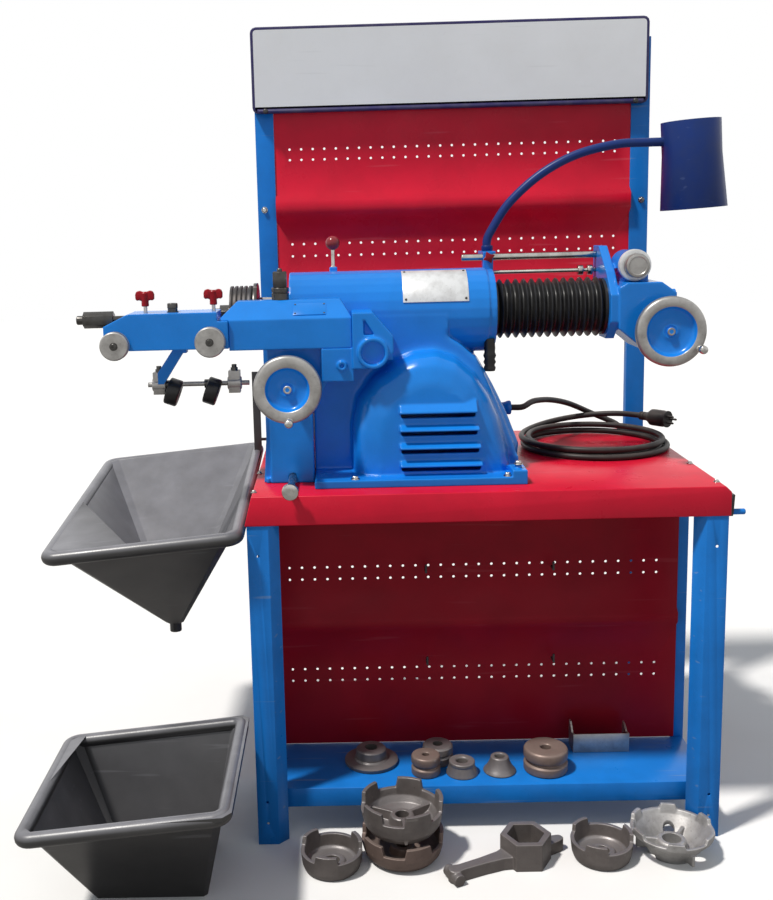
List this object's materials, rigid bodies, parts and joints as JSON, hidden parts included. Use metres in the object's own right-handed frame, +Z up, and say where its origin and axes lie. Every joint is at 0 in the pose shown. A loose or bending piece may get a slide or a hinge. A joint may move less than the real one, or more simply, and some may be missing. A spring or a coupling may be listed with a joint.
{
  "type": "brake lathe",
  "caption": "Bench brake lathe with bellowed feed spindle, cutter on a cross slide, perforated tool boards, gooseneck lamp, chip bins and loose adapters.",
  "frame": {"origin": "on the floor, under the middle of the box around everything that is not on the power cord", "axes": "+X along the spindle towards the feed box, +Y away from the operator, +Z up"},
  "size_m": [1.714, 1.1312, 2.024],
  "materials": {
    "machine_blue": "gloss",
    "lamp_navy": "gloss",
    "bench_red": "gloss",
    "sign_white": "gloss",
    "bin_black": "matte",
    "black_rubber": "matte",
    "bright_steel": "satin",
    "dark_steel": "satin",
    "dull_aluminium": "satin",
    "dark_iron": "rough",
    "plate_metal": "satin",
    "ball_red": "gloss",
    "lamp_glass": "frosted"
  },
  "bodies": {
    "bench": {"bench_top": "bench_red", "front_left_leg": "machine_blue", "front_right_leg": "machine_blue", "left_board_post": "machine_blue", "right_board_post": "machine_blue", "left_back_post": "machine_blue", "right_back_post": "machine_blue", "bottom_shelf": "machine_blue", "lower_board": "bench_red", "upper_board": "bench_red", "sign_board": "sign_white", "lathe_housing": "machine_blue", "motor_cover": "machine_blue", "name_plate": "plate_metal", "cross_column": "machine_blue", "bellows": "black_rubber", "cord_coil": "black_rubber", "cord_lead": "black_rubber", "cord_plug": "black_rubber"},
    "cross_carriage": {"cross_slide": "machine_blue", "cutter_body": "machine_blue"},
    "clamp_nut": {"clamp_nut": "dark_steel"},
    "cross_wheel": {"cross_handwheel": "dull_aluminium"},
    "cross_crank": {"cross_crank_knob": "bright_steel"},
    "draw_knob": {"draw_knob": "bright_steel"},
    "left_dial": {"left_dial": "dull_aluminium"},
    "right_dial": {"right_dial": "dull_aluminium"},
    "left_thumb_screw": {"left_thumb_screw": "bench_red"},
    "right_thumb_screw": {"right_thumb_screw": "bench_red"},
    "tool_holder": {"tool_holder": "dark_steel"},
    "silencer": {"silencer_arm": "bright_steel"},
    "silencer_left_pad": {"silencer_left_pad": "black_rubber"},
    "silencer_right_pad": {"silencer_right_pad": "black_rubber"},
    "spindle": {"spindle_quill": "bright_steel", "feed_box": "machine_blue", "stop_rod": "bright_steel", "trip_rod": "bright_steel"},
    "arbor": {"spindle_arbor": "dark_iron", "ridged_adapter": "dark_iron", "arbor_nut": "dark_steel"},
    "feed_wheel": {"feed_handwheel": "dull_aluminium"},
    "feed_crank": {"feed_crank_knob": "bright_steel"},
    "feed_dial": {"feed_dial": "dull_aluminium"},
    "star_screw": {"star_screw": "bench_red"},
    "shift_lever": {"shift_lever": "ball_red"},
    "gooseneck": {"lamp_gooseneck": "lamp_navy"},
    "lamp_head": {"lamp_shade": "lamp_navy", "lamp_bulb": "lamp_glass"},
    "hanging_bin": {"hanging_bin": "bin_black"},
    "floor_bin": {"floor_bin": "bin_black"},
    "left_cup": {"left_cup": "dark_iron"},
    "right_cup": {"right_cup": "dark_iron"},
    "lower_bell": {"lower_bell": "dark_iron"},
    "upper_bell": {"upper_bell": "dark_iron"},
    "alloy_bell": {"alloy_bell": "dull_aluminium"},
    "hex_wrench": {"hex_wrench": "dark_iron"},
    "double_adapter": {"double_adapter": "dark_iron"},
    "short_cone": {"short_cone": "dark_iron"},
    "tall_cone": {"tall_cone": "dark_iron"},
    "grooved_adapter": {"grooved_adapter": "dark_iron"}
  },
  "joints": [
    {"name": "spindle_feed", "type": "slide", "parent": "bench", "child": "spindle", "axis": [1, 0, 0], "range_m": [-0.175, 0], "deforming": ["bellows"]},
    {"name": "arbor_spin", "type": "hinge", "parent": "spindle", "child": "arbor", "pos_m": [-0.42203, 0.11535, 1.264], "axis": [1, 0, 0], "continuous": true},
    {"name": "feed_handwheel_turn", "type": "hinge", "parent": "spindle", "child": "feed_wheel", "pos_m": [0.63697, -0.03465, 1.211], "axis": [0, 1, 0], "range_deg": [-6500, 6500]},
    {"name": "feed_crank_knob_spin", "type": "hinge", "parent": "feed_wheel", "child": "feed_crank", "pos_m": [0.70311, -0.03465, 1.16967], "axis": [0, 1, 0], "continuous": true},
    {"name": "feed_dial_turn", "type": "hinge", "parent": "spindle", "child": "feed_dial", "pos_m": [0.56997, 0.06735, 1.366], "axis": [0, 1, 0], "range_deg": [-135, 135]},
    {"name": "star_screw_turn", "type": "hinge", "parent": "bench", "child": "star_screw", "pos_m": [0.23097, 0.17935, 1.39], "axis": [0, 1, 0], "range_deg": [-180, 180]},
    {"name": "cross_feed", "type": "slide", "parent": "bench", "child": "cross_carriage", "axis": [0, 1, 0], "range_m": [-0.05, 0]},
    {"name": "cross_handwheel_turn", "type": "hinge", "parent": "bench", "child": "cross_wheel", "pos_m": [-0.27503, -0.13465, 1.109], "axis": [0, 1, 0], "range_deg": [-3700, 3700]},
    {"name": "cross_crank_knob_spin", "type": "hinge", "parent": "cross_wheel", "child": "cross_crank", "pos_m": [-0.27245, -0.13465, 1.03504], "axis": [0, 1, 0], "continuous": true},
    {"name": "draw_knob_pull", "type": "slide", "parent": "bench", "child": "draw_knob", "axis": [0, 1, 0], "range_m": [-0.03, 0]},
    {"name": "shift_lever_tilt", "type": "hinge", "parent": "bench", "child": "shift_lever", "pos_m": [-0.16303, 0.15535, 1.3723], "axis": [0, 1, 0], "range_deg": [-15, 15]},
    {"name": "clamp_nut_turn", "type": "hinge", "parent": "cross_carriage", "child": "clamp_nut", "pos_m": [-0.29003, -0.01465, 1.311], "axis": [0, 0, 1], "range_deg": [-180, 180]},
    {"name": "left_dial_turn", "type": "hinge", "parent": "cross_carriage", "child": "left_dial", "pos_m": [-0.67503, -0.09265, 1.218], "axis": [0, 1, 0], "range_deg": [-6000, 6000]},
    {"name": "right_dial_turn", "type": "hinge", "parent": "cross_carriage", "child": "right_dial", "pos_m": [-0.45203, -0.09265, 1.222], "axis": [0, 1, 0], "range_deg": [-180, 180]},
    {"name": "tool_holder_feed", "type": "slide", "parent": "cross_carriage", "child": "tool_holder", "axis": [1, 0, 0], "range_m": [0, 0.04]},
    {"name": "left_thumb_screw_turn", "type": "hinge", "parent": "cross_carriage", "child": "left_thumb_screw", "pos_m": [-0.60703, -0.05265, 1.3], "axis": [0, 0, 1], "range_deg": [-90, 90]},
    {"name": "right_thumb_screw_turn", "type": "hinge", "parent": "cross_carriage", "child": "right_thumb_screw", "pos_m": [-0.44603, -0.05265, 1.3], "axis": [0, 0, 1], "range_deg": [-90, 90]},
    {"name": "silencer_swing", "type": "hinge", "parent": "cross_carriage", "child": "silencer", "pos_m": [-0.53403, -0.01165, 1.203], "axis": [0, 0, 1], "range_deg": [-15, 15]},
    {"name": "silencer_left_pad_tilt", "type": "hinge", "parent": "silencer", "child": "silencer_left_pad", "pos_m": [-0.55803, 0.01535, 1.108], "axis": [1, 0, 0], "range_deg": [-15, 15]},
    {"name": "silencer_right_pad_tilt", "type": "hinge", "parent": "silencer", "child": "silencer_right_pad", "pos_m": [-0.46203, 0.01535, 1.108], "axis": [1, 0, 0], "range_deg": [-15, 15]},
    {"name": "gooseneck_swing", "type": "hinge", "parent": "bench", "child": "gooseneck", "pos_m": [0.23957, 0.26535, 1.405], "axis": [0, 0, 1], "range_deg": [-60, 10]},
    {"name": "lamp_shade_tilt", "type": "hinge", "parent": "gooseneck", "child": "lamp_head", "pos_m": [0.68897, 0.26535, 1.669], "axis": [1, 0, 0], "range_deg": [-45, 45]},
    {"name": "hanging_bin_lift", "type": "slide", "parent": "bench", "child": "hanging_bin", "axis": [0, 0, 1], "range_m": [0, 0.15]},
    {"name": "floor_bin_lift", "type": "slide", "parent": "bench", "child": "floor_bin", "axis": [0, 0, 1], "range_m": [0, 0.15]},
    {"name": "left_cup_lift", "type": "slide", "parent": "bench", "child": "left_cup", "axis": [0, 0, 1], "range_m": [0, 0.15]},
    {"name": "right_cup_lift", "type": "slide", "parent": "bench", "child": "right_cup", "axis": [0, 0, 1], "range_m": [0, 0.15]},
    {"name": "lower_bell_lift", "type": "slide", "parent": "bench", "child": "lower_bell", "axis": [0, 0, 1], "range_m": [0, 0.15]},
    {"name": "alloy_bell_lift", "type": "slide", "parent": "bench", "child": "alloy_bell", "axis": [0, 0, 1], "range_m": [0, 0.15]},
    {"name": "hex_wrench_lift", "type": "slide", "parent": "bench", "child": "hex_wrench", "axis": [0, 0, 1], "range_m": [0, 0.15]},
    {"name": "upper_bell_lift", "type": "slide", "parent": "lower_bell", "child": "upper_bell", "axis": [0, 0, 1], "range_m": [0, 0.15]},
    {"name": "double_adapter_lift", "type": "slide", "parent": "bench", "child": "double_adapter", "axis": [0, 0, 1], "range_m": [0, 0.15]},
    {"name": "short_cone_lift", "type": "slide", "parent": "bench", "child": "short_cone", "axis": [0, 0, 1], "range_m": [0, 0.15]},
    {"name": "tall_cone_lift", "type": "slide", "parent": "bench", "child": "tall_cone", "axis": [0, 0, 1], "range_m": [0, 0.15]},
    {"name": "grooved_adapter_lift", "type": "slide", "parent": "bench", "child": "grooved_adapter", "axis": [0, 0, 1], "range_m": [0, 0.15]}
  ],
  "couplings": [
    {"joint": "feed_handwheel_turn", "follows": "spindle_feed", "rad_per_m": 628.32},
    {"joint": "cross_handwheel_turn", "follows": "cross_feed", "rad_per_m": 1256.6},
    {"joint": "left_dial_turn", "follows": "tool_holder_feed", "rad_per_m": -2513.3}
  ]
}
